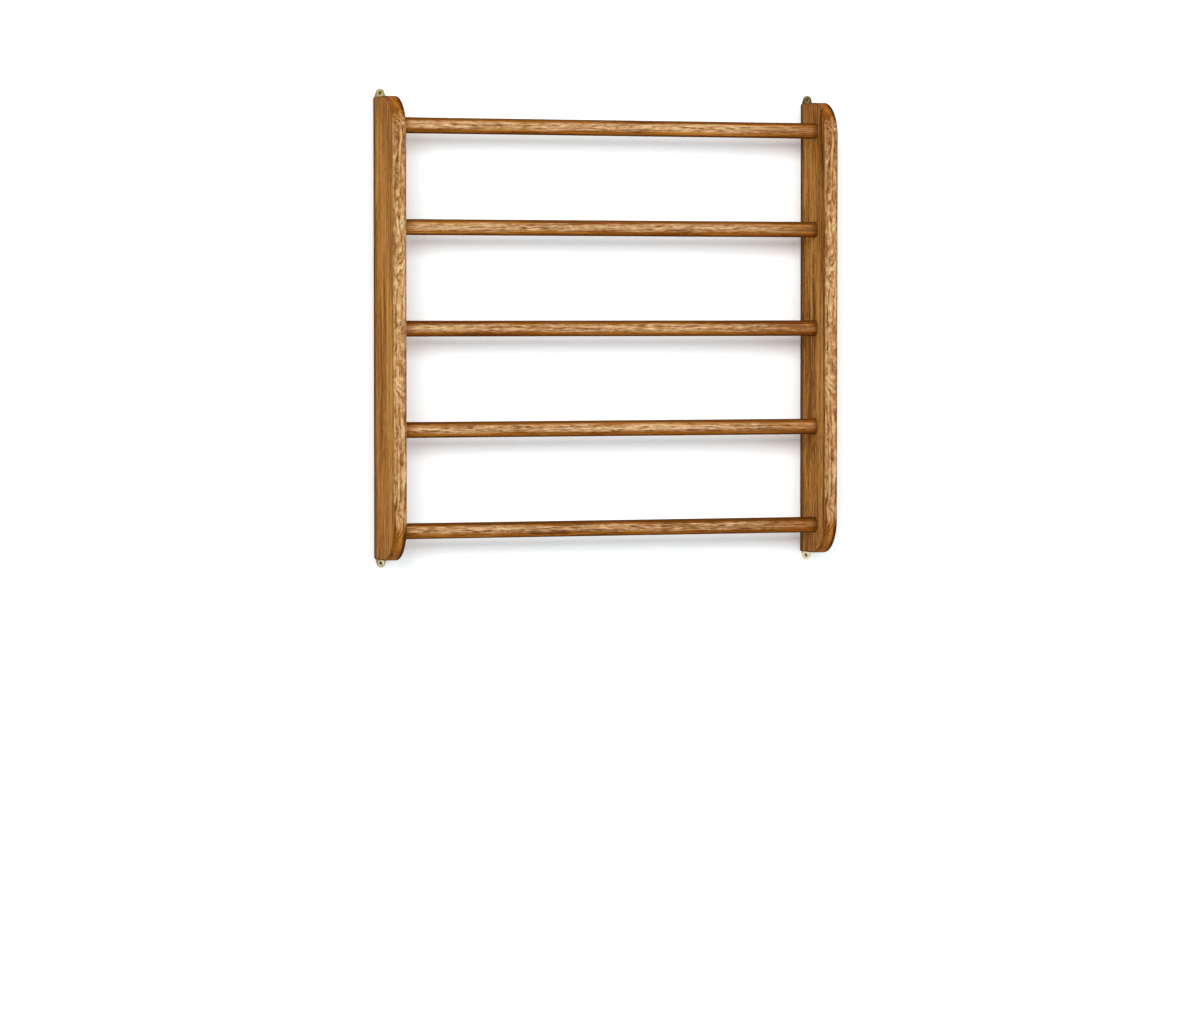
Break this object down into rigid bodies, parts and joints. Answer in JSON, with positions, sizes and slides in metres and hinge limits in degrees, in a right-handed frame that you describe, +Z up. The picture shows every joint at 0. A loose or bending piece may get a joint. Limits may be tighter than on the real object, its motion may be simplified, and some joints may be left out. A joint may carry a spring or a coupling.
{
  "type": "wall rack",
  "caption": "Wall-hung oak rack of round rails set between round-cornered side boards, with brass hanging plates let in at the back for wall screws.",
  "frame": {"origin": "centre of the four wall holes, on the plane of the wall", "axes": "+X along the rails to the viewer's right, +Y into the wall, +Z up"},
  "size_m": [0.753, 0.107, 0.7594],
  "materials": {
    "oak_board": "oiled mid-brown oak, satin",
    "oak_rail": "oiled mid-brown oak dowel, satin",
    "plate_brass": "pale brushed brass",
    "screw_brass": "turned brass"
  },
  "bodies": {
    "root": {"left_side_board": "oak_board", "right_side_board": "oak_board", "rail_1": "oak_rail", "rail_2": "oak_rail", "rail_3": "oak_rail", "rail_4": "oak_rail", "rail_5": "oak_rail", "hanging_plate_top_left": "plate_brass", "hanging_plate_top_right": "plate_brass", "hanging_plate_bottom_left": "plate_brass", "hanging_plate_bottom_right": "plate_brass", "plate_screw_top_left_1": "screw_brass", "plate_screw_top_left_2": "screw_brass", "plate_screw_top_right_1": "screw_brass", "plate_screw_top_right_2": "screw_brass", "plate_screw_bottom_left_1": "screw_brass", "plate_screw_bottom_left_2": "screw_brass", "plate_screw_bottom_right_1": "screw_brass", "plate_screw_bottom_right_2": "screw_brass"}
  },
  "joints": []
}
